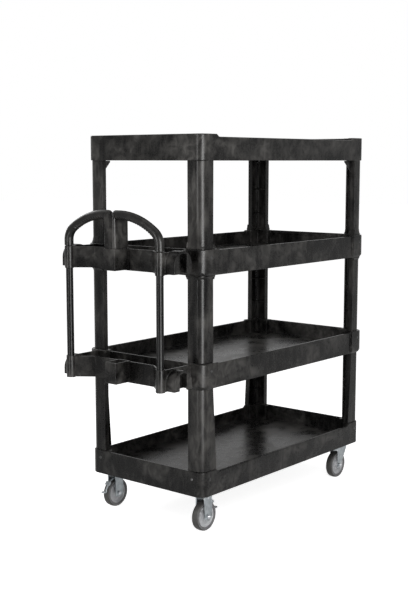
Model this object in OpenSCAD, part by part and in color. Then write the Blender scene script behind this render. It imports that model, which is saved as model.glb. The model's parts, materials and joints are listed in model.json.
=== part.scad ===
// Rolling utility cart: four lipped trays on moulded corner posts, an arched
// push handle over a tool caddy, two rigid braked casters and two swivel casters.
// The cart stands on z = 0. X runs along the rolling direction with the handle
// at the low end, and Y runs across the cart.

/* [Trays] */
// Length of every tray body
tray_l = 1210; // [1000:10:1400]
// Width of every tray body
tray_w = 642; // [560:2:760]
// Corner radius of the trays in plan
tray_r = 35; // [28:1:42]
// Height of the top and bottom trays at their corners
outer_tray_h = 105; // [98:1:125]
// Height of the two middle trays at their corners
inner_tray_h = 106; // [98:1:125]
// Thickness of the moulded walls
wall = 6; // [5:0.5:7]
// Depth of a tray from its side rims to the deck
tray_depth = 62; // [45:1:65]
// How far the long side rims dip between the corners
rim_dip = 11; // [4:1:16]
// How far the long side rims of the middle trays sit below their corners
inner_rim_dip = 5; // [3:1:12]
// How far the corner blocks of the middle trays stand proud
block_proud = 8; // [4:1:10]

/* [Heights above the floor] */
// Underside of the bottom tray
bottom_z = 167; // [165:1:190]
// Underside of the lower middle tray
lower_z = 618; // [560:1:660]
// Underside of the upper middle tray
upper_z = 1082; // [1000:1:1140]
// Underside of the top tray
top_z = 1541; // [1500:1:1640]

/* [Posts] */
// Width of a post's leg on the long side of the cart
post_x = 70; // [64:1:78]
// Width of a post's leg on the short side of the cart
post_y = 77; // [68:1:80]
// How far the posts stand inside the tray outline
post_inset = 5; // [3:1:8]
// Depth of a post's legs
post_leg = 24; // [20:1:26]
// Skin thickness of the hollow posts
post_skin = 5; // [4:0.5:6]
// How much wider the lowest posts are at their foot
post_spread = 22; // [0:1:22]

/* [Handle] */
// Distance from the tray end to the front face of the handle pillar
handle_reach = 201; // [190:1:220]
// Spread of the two uprights, centre to centre
upright_gap = 508; // [480:2:520]
// Diameter of the uprights
upright_d = 30; // [26:1:32]
// Diameter of the arched grips
grip_d = 38; // [34:1:40]
// Height of the grips above their bosses
grip_rise = 155; // [140:1:170]

/* [Casters] */
// Wheel diameter
wheel_d = 127; // [124:1:128]
// Width of the tread
wheel_w = 32; // [30:1:34]
// Distance from the middle of the trays to the rigid axles
rigid_x = 520; // [500:1:530]
// Distance from the middle of the trays to the swivel axles
swivel_x = 493; // [470:1:500]
// Distance from the centre line to each wheel
caster_y = 258; // [240:1:262]
// Offset of each swivel axle from its kingpin
trail = 31; // [26:1:36]

/* [Hidden] */
$fn = 64;

black = [0.13, 0.13, 0.125];
zinc = [0.72, 0.74, 0.75];
light_grey = [0.78, 0.78, 0.79];
tread_grey = [0.34, 0.33, 0.31];

// Trays
deck_t = 6;
lip_t = 3;
lip_h = 12;
block_chamfer = 12;
block_edge = 3;
under_rib_t = 4;
under_rib_low = 2;
under_rib_pitch = 120;
block_x = 92;
block_y = 98;
block_t = 36;
dip_ramp = 16;
outer_deck_z = outer_tray_h - rim_dip - tray_depth;

// Spigots that plug the posts into the corner blocks
spigot_h = 48;
spigot_t = 14;
spigot_gap = 0.4;
spigot_in = 9;
spigot_x = 58;
spigot_y = 64;

// Posts
rib_t = 5;
rib_drop = [143, 262];
gusset_out = 58;
gusset_h = 140;
foot_flare_h = 28;
head_flare_h = 16;
flare_land = 4;
post_r = tray_r - post_inset + 2;
low_foot_z = bottom_z + outer_tray_h;
mid_foot_z = lower_z + inner_tray_h;
high_foot_z = upper_z + inner_tray_h;

// Screws through the corner blocks into the spigots
screw_r = 3;
screw_head_r = 6.5;
screw_head_t = 2.5;
screw_len = 26;
screw_hole_depth = 27;
screw_along_x = 47;
screw_along_y = 57;
screw_from_top = 32;

// The trays' middle lies this far along X, so that the origin is under the
// middle of the whole cart.
tray_cx = (handle_reach - block_proud - screw_head_t) / 2;

// Tool caddy at the handle end of the middle trays
caddy_low = 16;
caddy_floor_z = 27;
caddy_h = inner_tray_h - 2;
caddy_half_w = 268;
caddy_end = 120;
caddy_bay_y = 164;
spine_half = 31;
spine_low = 19;
spine_h = inner_tray_h + 1;
boss_r = grip_d / 2;
boss_low = 14;
boss_x = -(tray_l / 2 + handle_reach - 22.5);
boss_socket = 34;
divider_t = 5;
divider_h = 42;

// Arched tool hoods on the caddy's side walls
hood_x = -(tray_l / 2 + 109);
hood_r = 54;
hood_out = 47;
hood_t = 5;
hood_low = 19;
hood_face_t = 6;
hood_slot_w = 44;
hood_band = 10;
upper_hood_top = 109;
lower_hood_top = 99;

// Handle
grip_arc_r = 320;
grip_bend_r = 63;
grip_flat_y = 40;
grip_end_y = 22;
grip_slim = 0.4;
grip_peg_r = 11;
grip_peg_h = 28;
upright_wall = 2.5;
boss_top_z = upper_z + spine_h;
grip_top_z = boss_top_z + grip_rise - grip_d / 2;
pillar_depth = handle_reach - caddy_end + wall - 1;
pillar_x = -(tray_l / 2 + handle_reach) + pillar_depth / 2;
pillar_r = 12;
pillar_wall = 5;
pillar_plug = 15;
pillar_top_z = grip_top_z + 5;
// Slope of the long arc where the tight bend takes over
grip_bend_a = asin((upright_gap / 2 - grip_flat_y - grip_bend_r) / (grip_arc_r - grip_bend_r));

// Casters
axle_z = wheel_d / 2;
plate_l = 96;
plate_w = 80;
plate_t = 4;
plate_top_z = bottom_z - 2;
plate_z = plate_top_z - plate_t;
bolt_dx = 72;
bolt_dy = 56;
bolt_r = 4;
bolt_grip = 24;
bolt_head_r = 7;
bolt_head_t = 5;
leg_gap = 40;
leg_t = 3;
leg_w = 48;
leg_drop = 15;
leg_foot_r = 12;
bead_w = 4;
bead_t = 2;
rigid_crown_h = 9;
fit_gap = 0.05;
axle_r = 5;
axle_reach = 33;
hex_r = 9;
nut_t = 7;
sleeve_r = 8;
hub_len = 39;
hub_boss_r = 17;
hub_boss_edge = 2;
web_half = 7;
rim_r = 47;
rim_half = 13;
rim_t = 5;
tyre_shoulder = 6;
crown_r = 34;
crown_t = 4;
ball_r = 3;
ball_gap = 0.3;
ball_pitch_r = 25;
ball_count = 14;
race_r = 38;
race_t = 3;
crown_z = plate_z - 2 * (ball_r + ball_gap) - crown_t;
kingpin_r = 7;
kingpin_head_r = 12;
kingpin_head_t = 4;
swivel_leg_back = 14;
swivel_leg_front = 31;
swivel_foot_r = 15;

// Brake levers, in the plane of the wheel with the axle at the origin
brake_pin_z = 80;
brake_pin_r = 3;
brake_barrel_r = 6;
brake_barrel_w = 36;
brake_arm_w = 8;
brake_w = 24;
brake_t = 3;
brake_tip = 89;
brake_step_z = 18;
brake_shoe_r = 67;
brake_shoe_t = 9.5;
brake_shoe_w = 16;
brake_inner_y = 16;

// Middles of the four caster plates in plan
caster_places = [
    for (side = [-1, 1]) [-rigid_x, side * caster_y],
    for (side = [-1, 1]) [swivel_x + trail, side * caster_y],
];

handle_end = -1;
nose_end = 1;
both_ends = [handle_end, nose_end];
left_side = 1;
right_side = -1;

// ---------------------------------------------------------------- helpers

// Puts a piece that is drawn about the middle of the trays in its place.
module placed() {
    translate([tray_cx, 0, 0]) children();
}

// Turns a piece drawn for the corner at the low ends of X and Y to any corner.
module at_corner(end, side, inset) {
    translate([end * (tray_l / 2 - inset), side * (tray_w / 2 - inset), 0])
        mirror([end > 0 ? 1 : 0, 0, 0])
            mirror([0, side > 0 ? 1 : 0, 0])
                children();
}

module all_corners(inset) {
    for (end = both_ends, side = [left_side, right_side])
        at_corner(end, side, inset) children();
}

module both_sides() {
    children();
    mirror([0, 1, 0]) children();
}

module rounded_rect(l, w, r) {
    square([l - 2 * r, w], center = true);
    square([l, w - 2 * r], center = true);
    for (x = [-1, 1], y = [-1, 1])
        translate([x * (l / 2 - r), y * (w / 2 - r)]) circle(r);
}

// A rectangle from the origin with its corner at the origin rounded.
module corner_plan(lx, ly, r) {
    translate([r, 0]) square([lx - r, ly]);
    translate([0, r]) square([lx, ly - r]);
    translate([r, r]) circle(r);
}

module corner_l(lx, ly, t, r) {
    difference() {
        corner_plan(lx, ly, r);
        translate([t, t]) square([lx, ly]);
    }
}

// Sweeps an outline of [distance outwards, height] points round a corner.
module wrap_corner(lx, ly, r, outline) {
    straight = [for (p = outline) [-p[0], p[1]]];
    bend = [for (p = outline) [r + p[0], p[1]]];
    translate([r, 0, 0])
        rotate([90, 0, 90]) linear_extrude(lx - r) polygon(straight);
    translate([0, ly, 0])
        rotate([90, 0, 0]) linear_extrude(ly - r) polygon(straight);
    translate([r, r, 0])
        rotate([0, 0, 180]) rotate_extrude(angle = 90) polygon(bend);
}

// ---------------------------------------------------------------- trays

module skirt(h) {
    linear_extrude(h) difference() {
        rounded_rect(tray_l, tray_w, tray_r);
        rounded_rect(tray_l - 2 * wall, tray_w - 2 * wall, tray_r - wall);
    }
}

// Thicker band inside the top edge.
module lip(h, dip) {
    lip_r = tray_r - wall - lip_t;
    translate([0, 0, h - dip - lip_h]) linear_extrude(dip + lip_h) difference() {
        rounded_rect(tray_l - wall, tray_w - wall, tray_r - wall / 2);
        rounded_rect(tray_l - 2 * (wall + lip_t), tray_w - 2 * (wall + lip_t), lip_r);
    }
}

module deck(deck_z) {
    translate([0, 0, deck_z - deck_t]) linear_extrude(deck_t)
        rounded_rect(tray_l - wall, tray_w - wall, tray_r - wall / 2);
}

module under_ribs(deck_z) {
    rib_h = deck_z - deck_t - under_rib_low + 1;
    rib_count = floor((tray_l / 2 - block_x) / under_rib_pitch);
    for (i = [-rib_count : rib_count])
        translate([i * under_rib_pitch, 0, under_rib_low + rib_h / 2])
            cube([under_rib_t, tray_w - wall, rib_h], center = true);
    for (row = [-1.5 : 1.5])
        translate([0, row * tray_w / 5, under_rib_low + rib_h / 2])
            cube([tray_l - wall, under_rib_t, rib_h], center = true);
}

// The long side rims are cut down between the corner blocks.
module rim_dips(h, dip) {
    run = tray_l / 2 - block_x;
    for (side = [-1, 1])
        translate([0, side * tray_w / 2 + 30, 0]) rotate([90, 0, 0])
            linear_extrude(60) polygon([
                [-run, h + 1], [-run + dip_ramp, h - dip],
                [run - dip_ramp, h - dip], [run, h + 1],
            ]);
}

// The L-shaped slot that takes a post's spigot.
module spigot_slot(z) {
    translate([0, 0, z]) all_corners(post_inset + spigot_in - spigot_gap)
        linear_extrude(spigot_h + 1)
            corner_l(spigot_x + 2 * spigot_gap, spigot_y + 2 * spigot_gap,
                spigot_t + 2 * spigot_gap, post_r - spigot_in + spigot_gap);
}

// Ends where the short side takes a screw at a height: the caddies cover the
// handle end of the middle trays.
function screw_ends(z) = z > lower_z ? [nose_end] : both_ends;

// Blind holes into the outer faces of each corner at one height.
module screw_holes(z, ends) {
    start = -block_proud - 1;
    length = screw_hole_depth - start;
    screw_places(z, start, ends) cylinder(r = screw_r, h = length);
}

// Puts a piece along each screw's axis: one on the long side of every corner
// and one on the short side of the corners at the given ends.
module screw_places(z, start, ends) {
    all_corners(0) translate([screw_along_x, start, z]) rotate([-90, 0, 0]) children();
    for (end = ends, side = [left_side, right_side]) at_corner(end, side, 0)
        translate([start, screw_along_y, z]) rotate([0, 90, 0]) children();
}

module proud_blocks(h) {
    outline = [
        [-wall / 2, 0], [0, 0], [block_proud, block_chamfer],
        [block_proud, h - block_edge], [block_proud - block_edge, h], [-wall / 2, h],
    ];
    all_corners(0) wrap_corner(block_x, block_y, tray_r, outline);
}

// A tray drawn with its underside at z = 0.
module tray(h, dip, proud) {
    deck_z = h - dip - tray_depth;
    difference() {
        union() {
            skirt(h);
            lip(h, dip);
            deck(deck_z);
            under_ribs(deck_z);
        }
        rim_dips(h, dip);
    }
    all_corners(0) linear_extrude(h) corner_l(block_x, block_y, block_t, tray_r);
    if (proud) proud_blocks(h);
}

module top_tray() {
    color(black) placed() translate([0, 0, top_z]) difference() {
        tray(outer_tray_h, rim_dip, false);
        spigot_slot(-1);
    }
}

module bottom_tray() {
    pad_h = outer_deck_z - 1;
    color(black) placed() translate([0, 0, bottom_z]) difference() {
        union() {
            tray(outer_tray_h, rim_dip, false);
            for (c = caster_places)
                translate([c[0], c[1], plate_top_z - bottom_z])
                    linear_extrude(pad_h + bottom_z - plate_top_z)
                        rounded_rect(plate_l, plate_w, 6);
        }
        spigot_slot(outer_tray_h - spigot_h);
        screw_holes(outer_tray_h - screw_from_top, both_ends);
        for (c = caster_places)
            translate([c[0], c[1], plate_top_z - bottom_z - 1]) {
                bolt_grid() cylinder(r = bolt_r, h = bolt_grip + 2);
                cylinder(r = kingpin_head_r + 4, h = 9);
            }
    }
}

module middle_tray(hood_top) {
    difference() {
        union() {
            tray(inner_tray_h, inner_rim_dip, true);
            caddy();
            both_sides() hood(hood_top);
        }
        spigot_slot(-1);
        spigot_slot(inner_tray_h - spigot_h);
        screw_holes(inner_tray_h - screw_from_top, [nose_end]);
    }
}

module upper_tray() {
    color(black) placed() translate([0, 0, upper_z]) difference() {
        middle_tray(upper_hood_top);
        upright_sockets(boss_low - 1);
        both_sides() translate([boss_x, upright_gap / 2, spine_h - grip_peg_h])
            cylinder(r = grip_peg_r + fit_gap, h = grip_peg_h + 1);
    }
}

module lower_tray() {
    color(black) placed() translate([0, 0, lower_z]) difference() {
        middle_tray(lower_hood_top);
        upright_sockets(spine_h - boss_socket);
    }
}

// ---------------------------------------------------------------- tool caddy

// Half of the caddy's plan, inset by t: side wall, slanted bay wall and
// recessed end wall. It starts a little inside the tray's own end wall.
function caddy_half(t) =
    let (start_x = -tray_l / 2 + 2 + t, end_x = -(tray_l / 2 + caddy_end))
    [
        [start_x, caddy_half_w - t],
        [boss_x, caddy_half_w - t],
        [boss_x + 0.77 * t, upright_gap / 2 - 14 + 0.64 * t],
        [end_x + t, caddy_bay_y + 0.36 * t],
    ];

module caddy_plan(t) {
    half = caddy_half(t);
    mirrored = [for (i = [len(half) - 1 : -1 : 0]) [half[i][0], -half[i][1]]];
    polygon(concat(half, mirrored));
}

module caddy() {
    difference() {
        translate([0, 0, caddy_low]) linear_extrude(caddy_h - caddy_low) caddy_plan(0);
        translate([0, 0, caddy_floor_z]) linear_extrude(caddy_h) caddy_plan(wall);
        translate([0, 0, caddy_low - 1]) linear_extrude(caddy_floor_z - deck_t - caddy_low + 1)
            caddy_plan(wall);
    }
    spine();
    both_sides() divider();
    both_sides() boss();
}

// Low web that parts the caddy's middle bay from its side bays.
module divider() {
    reach = caddy_end - wall / 2;
    translate([-tray_l / 2 - reach, caddy_bay_y - divider_t, caddy_floor_z - 1])
        cube([reach, divider_t, divider_h]);
}

module boss() {
    translate([boss_x, upright_gap / 2, boss_low])
        cylinder(r = boss_r, h = spine_h - boss_low);
}

module upright_sockets(z) {
    for (side = [-1, 1])
        translate([boss_x, side * upright_gap / 2, z])
            cylinder(r = upright_d / 2 + fit_gap, h = boss_socket + 1);
}

// Hollow box behind the handle, open at the top.
module spine() {
    translate([pillar_x, 0, spine_low]) difference() {
        linear_extrude(spine_h - spine_low)
            square([pillar_depth, 2 * spine_half], center = true);
        translate([0, 0, wall + 2]) linear_extrude(spine_h)
            square([pillar_depth - 2 * wall, 2 * (spine_half - wall)], center = true);
    }
}

// Arch that stands on its foot line, drawn in the plane of X and Z.
module hood_arch(r, top, y, depth) {
    translate([hood_x, y + depth, 0]) rotate([90, 0, 0]) linear_extrude(depth)
        intersection() {
            union() {
                translate([0, top - hood_r]) circle(r = r);
                translate([-r, 0]) square([2 * r, top - hood_r]);
            }
            translate([-hood_r, hood_low]) square([2 * hood_r, top]);
        }
}

// Tool hood: an arched shell open at the bottom, with a slotted face whose two
// fingers hold a tool behind them.
module hood(top) {
    face_y = caddy_half_w + hood_out - hood_face_t;
    difference() {
        union() {
            hood_arch(hood_r, top, caddy_half_w - 2, hood_out - hood_face_t / 2 + 2);
            hood_arch(hood_r - 2, top, face_y, hood_face_t);
        }
        translate([0, 0, -1])
            hood_arch(hood_r - hood_t, top, caddy_half_w - 3, hood_out - hood_face_t + 3);
        intersection() {
            translate([0, 0, -2]) hood_arch(hood_r - hood_band, top + 2, face_y - 1, hood_face_t + 2);
            translate([hood_x - hood_slot_w / 2, face_y - 2, 0])
                cube([hood_slot_w, hood_face_t + 4, top]);
        }
    }
}

// ---------------------------------------------------------------- posts

// Everything on the corner side of a post's slanted free edge.
module post_slant(h, foot_x, inset) {
    translate([0, post_y + 1, 0]) rotate([90, 0, 0]) linear_extrude(post_y + 2)
        polygon([[-1, 0], [foot_x - inset, 0], [post_x - inset, h], [-1, h]]);
}

// Web from the round corner to the crease inside, in plan.
module post_web() {
    rotate(45) translate([0, -rib_t / 2]) square([post_leg * sqrt(2) + rib_t, rib_t]);
}

// One post drawn at the low ends of X and Y with its foot at z = 0. It is
// hollow from the inside, with a cross rib at each end and between the bays.
module post(h, foot_x, foot_flare, head_flare, gusset) {
    rib_tops = concat([0], [for (drop = rib_drop) drop], [h - rib_t]);
    difference() {
        intersection() {
            translate([0, 0, -1]) linear_extrude(h + 2)
                corner_l(foot_x + 1, post_y, post_leg, post_r);
            post_slant(h, foot_x, 0);
        }
        for (i = [0 : len(rib_tops) - 2])
            post_bay(h, foot_x, h - rib_tops[i + 1], rib_tops[i + 1] - rib_tops[i] - rib_t);
    }
    if (gusset) post_gusset(h);
    if (foot_flare) post_flare(foot_flare_h);
    if (head_flare) translate([0, 0, h]) mirror([0, 0, 1]) post_flare(head_flare_h);
    spigot(1 - spigot_h);
    spigot(h - 1);
}

module post_bay(h, foot_x, z, bay_h) {
    skin = post_skin;
    intersection() {
        translate([skin, skin, z]) linear_extrude(bay_h) difference() {
            corner_plan(foot_x, post_y - 2 * skin, post_r - skin);
            translate([-skin, -skin]) post_web();
        }
        post_slant(h, foot_x, skin);
    }
}

module post_gusset(h) {
    root = post_leg * sqrt(2) - 2;
    rotate([0, 0, 45]) rotate([90, 0, 0]) translate([0, 0, -rib_t / 2])
        linear_extrude(rib_t) polygon([
            [root, h - 1], [root + gusset_out, h - 1], [root + gusset_out, h - 7],
            [root + gusset_out * 0.42, h - gusset_h * 0.42], [root, h - gusset_h],
        ]);
}

// Foot that spreads over the corner block, round the corner and both free edges.
module post_flare(flare_h) {
    flare = post_inset + 1;
    root = post_skin / 2;
    waist = flare_land + (flare_h - flare_land) / 3;
    outline = [
        [-root, 0], [flare, 0], [flare, flare_land], [flare * 0.45, waist], [0, flare_h],
        [-root, flare_h],
    ];
    edge_x = [for (p = outline) [post_x + p[0], p[1]]];
    edge_y = [for (p = outline) [post_y + p[0], p[1]]];
    wrap_corner(post_x, post_y, post_r, outline);
    translate([0, post_leg, 0]) rotate([90, 0, 0]) linear_extrude(post_leg + flare)
        polygon(edge_x);
    translate([-flare, 0, 0]) rotate([90, 0, 90]) linear_extrude(post_leg + flare)
        polygon(edge_y);
}

module spigot(z) {
    translate([spigot_in, spigot_in, z]) linear_extrude(spigot_h)
        corner_l(spigot_x, spigot_y, spigot_t, post_r - spigot_in);
}

module placed_post(end, side, foot_z, head_z, foot_x, foot_flare, head_flare, gusset) {
    color(black) placed() difference() {
        translate([0, 0, foot_z]) at_corner(end, side, post_inset)
            post(head_z - foot_z, foot_x, foot_flare, head_flare, gusset);
        screw_holes(foot_z - screw_from_top, screw_ends(foot_z));
    }
}

module post_low(end, side) {
    placed_post(end, side, low_foot_z, lower_z, post_x + post_spread, false, false, false);
}

module post_mid(end, side) {
    placed_post(end, side, mid_foot_z, upper_z, post_x, false, true, false);
}

module post_high(end, side) {
    placed_post(end, side, high_foot_z, top_z, post_x, true, false, true);
}

// ---------------------------------------------------------------- screws

module corner_screw() {
    cylinder(r = screw_r - fit_gap, h = screw_len);
    translate([0, 0, -screw_head_t])
        cylinder(r1 = screw_head_r - 2, r2 = screw_head_r, h = screw_head_t / 2);
    translate([0, 0, -screw_head_t / 2]) cylinder(r = screw_head_r, h = screw_head_t / 2);
}

// The screws at one height, with their heads on faces that stand proud.
module corner_screws(z, proud) {
    color(zinc) placed() screw_places(z, -proud, screw_ends(z)) corner_screw();
}

module screws_upper_tray() {
    corner_screws(high_foot_z - screw_from_top, block_proud);
}

module screws_lower_tray() {
    corner_screws(mid_foot_z - screw_from_top, block_proud);
}

module screws_bottom_tray() {
    corner_screws(low_foot_z - screw_from_top, 0);
}

// ---------------------------------------------------------------- handle

module handle_upright(side) {
    foot_z = lower_z + spine_h - boss_socket + 1;
    head_z = upper_z + boss_low + boss_socket - 1;
    color(black) placed() translate([boss_x, side * upright_gap / 2, foot_z]) difference() {
        cylinder(d = upright_d, h = head_z - foot_z);
        translate([0, 0, -1])
            cylinder(d = upright_d - 2 * upright_wall, h = head_z - foot_z + 2);
    }
}

// Hollow pillar under the meeting point of the two grips.
module handle_pillar() {
    cavity_h = grip_top_z - grip_d / 2 - 6 - boss_top_z;
    color(black) placed() {
        difference() {
            translate([pillar_x, 0, boss_top_z]) difference() {
                linear_extrude(pillar_top_z - boss_top_z)
                    rounded_rect(pillar_depth, 2 * spine_half, pillar_r);
                translate([0, 0, -1]) linear_extrude(cavity_h + 1)
                    rounded_rect(pillar_depth - 2 * pillar_wall,
                        2 * (spine_half - pillar_wall), pillar_r - pillar_wall);
            }
            translate([boss_x, 2 * spine_half, grip_top_z]) rotate([90, 0, 0])
                cylinder(r = grip_d / 2 + fit_gap, h = 4 * spine_half);
        }
        pillar_plug();
    }
}

// Ring that drops from a ledge in the pillar into the top of the spine.
module pillar_plug() {
    l = pillar_depth - 2 * wall - 1;
    w = 2 * (spine_half - wall) - 1;
    translate([pillar_x, 0, boss_top_z]) {
        translate([0, 0, -pillar_plug]) linear_extrude(pillar_plug + 1) difference() {
            rounded_rect(l, w, 4);
            rounded_rect(l - 6, w - 6, 2);
        }
        linear_extrude(4) difference() {
            rounded_rect(pillar_depth - wall, 2 * spine_half - wall, pillar_r - 2);
            rounded_rect(l - 6, w - 6, 2);
        }
    }
}

// Bent round bar about an axis along X, from the level end of its arc.
module bent_bar(r, d, from, to) {
    rotate([90, 0, 90]) rotate([0, 0, from]) rotate_extrude(angle = to - from)
        translate([r, 0]) circle(d = d);
}

// One arched grip: a peg, a short rise, a tight bend, a long arc and a domed
// end. The bend and the end are a touch slimmer than the pieces they run into.
module handle_grip(side) {
    centre_z = grip_top_z - grip_arc_r;
    bend_y = grip_flat_y + (grip_arc_r - grip_bend_r) * sin(grip_bend_a);
    bend_z = centre_z + (grip_arc_r - grip_bend_r) * cos(grip_bend_a);
    turn = 90 - grip_bend_a;
    slim_d = grip_d - grip_slim;
    color(black) placed() mirror([0, side > 0 ? 0 : 1, 0]) translate([boss_x, 0, 0]) {
        translate([0, upright_gap / 2, boss_top_z - grip_peg_h + 1])
            cylinder(r = grip_peg_r, h = grip_peg_h);
        translate([0, upright_gap / 2, boss_top_z])
            cylinder(d = grip_d, h = bend_z - boss_top_z);
        translate([0, bend_y, bend_z]) bent_bar(grip_bend_r, slim_d, -1, turn + 1);
        translate([0, grip_flat_y, centre_z]) bent_bar(grip_arc_r, grip_d, turn, 90);
        translate([0, grip_flat_y + 1, grip_top_z]) rotate([90, 0, 0])
            cylinder(d = slim_d, h = grip_flat_y + 1 - grip_end_y);
        translate([0, grip_end_y, grip_top_z]) sphere(d = slim_d);
    }
}

// ---------------------------------------------------------------- casters

module bolt_grid() {
    for (x = [-1, 1], y = [-1, 1])
        translate([x * bolt_dx / 2, y * bolt_dy / 2, 0]) children();
}

module caster_bolts() {
    color(zinc) placed() for (c = caster_places) translate([c[0], c[1], plate_z]) bolt_grid() {
        cylinder(r = bolt_r - fit_gap, h = plate_t + bolt_grip);
        translate([0, 0, -bolt_head_t]) cylinder(r = bolt_head_r, h = bolt_head_t, $fn = 6);
    }
}

module plate() {
    translate([0, 0, plate_z]) difference() {
        linear_extrude(plate_t) rounded_rect(plate_l, plate_w, 6);
        translate([0, 0, -1]) bolt_grid() cylinder(r = bolt_r, h = plate_t + 2);
    }
}

// A flat plate in the plane of the wheel, as the leg at the high end of Y.
module leg_plate(t) {
    translate([0, leg_gap / 2 + t, 0]) rotate([90, 0, 0]) linear_extrude(t) children();
}

module rigid_leg_outline() {
    foot = axle_z - leg_drop;
    translate([-leg_w / 2, foot + leg_foot_r])
        square([leg_w, plate_z - foot - leg_foot_r + 1]);
    translate([-leg_w / 2 + leg_foot_r, foot]) square([leg_w - 2 * leg_foot_r, leg_foot_r + 1]);
    for (x = [-1, 1])
        translate([x * (leg_w / 2 - leg_foot_r), foot + leg_foot_r]) circle(r = leg_foot_r);
}

module cross_bore(z, r) {
    translate([0, -plate_w, z]) rotate([-90, 0, 0]) cylinder(r = r, h = 2 * plate_w);
}

module rigid_fork(side) {
    color(zinc) placed() translate([-rigid_x, side * caster_y, 0]) {
        plate();
        translate([-leg_w / 2 + bead_w, -leg_gap / 2 - 1, plate_z - rigid_crown_h])
            cube([leg_w - 2 * bead_w, leg_gap + 2, rigid_crown_h + 1]);
        difference() {
            both_sides() {
                leg_plate(leg_t) rigid_leg_outline();
                for (x = [-leg_w / 2, leg_w / 2 - bead_w])
                    translate([x, leg_gap / 2, axle_z])
                        cube([bead_w, leg_t + bead_t, plate_z - axle_z + 1]);
            }
            cross_bore(axle_z, axle_r + fit_gap);
            cross_bore(axle_z + brake_pin_z, brake_pin_r + fit_gap);
        }
    }
}

module swivel_plate(side) {
    color(zinc) placed() translate([swivel_x + trail, side * caster_y, 0]) difference() {
        union() {
            plate();
            translate([0, 0, crown_z + crown_t + ball_gap]) difference() {
                cylinder(r = race_r, h = 2 * ball_r + 1);
                translate([0, 0, -1]) cylinder(r = race_r - race_t, h = 2 * ball_r + 3);
            }
        }
        translate([0, 0, plate_z - 1]) cylinder(r = kingpin_r + fit_gap, h = plate_t + 2);
    }
}

module swivel_balls(side) {
    color(zinc) placed() translate([swivel_x + trail, side * caster_y, plate_z - ball_r])
        for (i = [0 : ball_count - 1])
            rotate([0, 0, 360 * i / ball_count]) translate([ball_pitch_r, 0, 0])
                sphere(r = ball_r);
}

module kingpin(side) {
    low = crown_z - ball_gap - kingpin_head_t;
    color(zinc) placed() translate([swivel_x + trail, side * caster_y, 0]) {
        translate([0, 0, low]) cylinder(r = kingpin_r, h = plate_top_z - low + 2);
        translate([0, 0, low]) cylinder(r = kingpin_head_r, h = kingpin_head_t);
        translate([0, 0, plate_top_z]) cylinder(r = kingpin_head_r - 2, h = 3);
    }
}

// Upright towards the middle of the cart, slanted under the kingpin.
module swivel_leg_outline() {
    head = crown_z + 1;
    front = trail + swivel_leg_front;
    polygon([
        [-swivel_leg_back, axle_z], [-swivel_leg_back, head], [front, head],
        [front, head - 12], [swivel_foot_r - 1, axle_z - 5], [0, axle_z - 5],
    ]);
    translate([0, axle_z]) circle(r = swivel_foot_r);
}

module swivel_fork(side) {
    crown_l = swivel_leg_back + trail + swivel_leg_front;
    color(zinc) placed() translate([swivel_x, side * caster_y, 0]) difference() {
        union() {
            translate([trail, 0, crown_z]) cylinder(r = crown_r, h = crown_t);
            translate([-swivel_leg_back, -leg_gap / 2 - leg_t, crown_z])
                cube([crown_l, leg_gap + 2 * leg_t, crown_t]);
            both_sides() leg_plate(leg_t) swivel_leg_outline();
        }
        translate([trail, 0, crown_z - 1]) cylinder(r = kingpin_r + fit_gap, h = crown_t + 2);
        cross_bore(axle_z, axle_r + fit_gap);
    }
}

// ---------------------------------------------------------------- wheels

// Puts a piece drawn about an axle along Y in its place, with the outer face
// of the wheel towards the near end of the piece.
module at_wheel(x, side) {
    placed() translate([x, side * caster_y, axle_z]) mirror([0, side > 0 ? 1 : 0, 0]) children();
}

module along_y(y) {
    translate([0, y, 0]) rotate([-90, 0, 0]) children();
}

module axle(x, side) {
    color(zinc) at_wheel(x, side) {
        along_y(-axle_reach) cylinder(r = axle_r, h = axle_reach + leg_gap / 2 + leg_t + 1);
        along_y(leg_gap / 2 + leg_t + fit_gap) cylinder(r = hex_r, h = nut_t - 1, $fn = 6);
    }
}

module nut(x, side) {
    color(zinc) at_wheel(x, side) difference() {
        along_y(-leg_gap / 2 - leg_t - nut_t - fit_gap) cylinder(r = hex_r, h = nut_t, $fn = 6);
        along_y(-axle_reach - 1) cylinder(r = axle_r + fit_gap, h = axle_reach + 1);
    }
}

module sleeve(x, side) {
    half = leg_gap / 2 - fit_gap;
    color(zinc) at_wheel(x, side) along_y(-half) difference() {
        cylinder(r = sleeve_r, h = 2 * half);
        translate([0, 0, -1]) cylinder(r = axle_r + fit_gap, h = 2 * half + 2);
    }
}

module hub(x, side) {
    boss = hub_len / 2;
    bore = sleeve_r + fit_gap;
    half = [
        [bore, boss], [hub_boss_r - hub_boss_edge, boss], [hub_boss_r, boss - hub_boss_edge],
        [hub_boss_r + 2, web_half], [rim_r - rim_t - 2, web_half], [rim_r - rim_t, rim_half],
        [rim_r, rim_half],
    ];
    mirrored = [for (i = [len(half) - 1 : -1 : 0]) [half[i][0], -half[i][1]]];
    color(light_grey) at_wheel(x, side) along_y(0) rotate_extrude()
        polygon(concat(half, mirrored));
}

module tyre(x, side) {
    inner_l = wheel_d / 2 - rim_r;
    color(tread_grey) at_wheel(x, side) along_y(0) rotate_extrude() {
        translate([rim_r, -wheel_w / 2]) square([inner_l - tyre_shoulder, wheel_w]);
        translate([rim_r, -wheel_w / 2 + tyre_shoulder])
            square([inner_l, wheel_w - 2 * tyre_shoulder]);
        for (y = [-1, 1])
            translate([wheel_d / 2 - tyre_shoulder, y * (wheel_w / 2 - tyre_shoulder)])
                circle(r = tyre_shoulder);
    }
}

// ---------------------------------------------------------------- brakes

// The right lever steps out under the cart and the left one towards the handle.
module at_brake(side) {
    placed() translate([-rigid_x, side * caster_y, axle_z])
        rotate([0, 0, side > 0 ? 180 : 0]) children();
}

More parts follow.
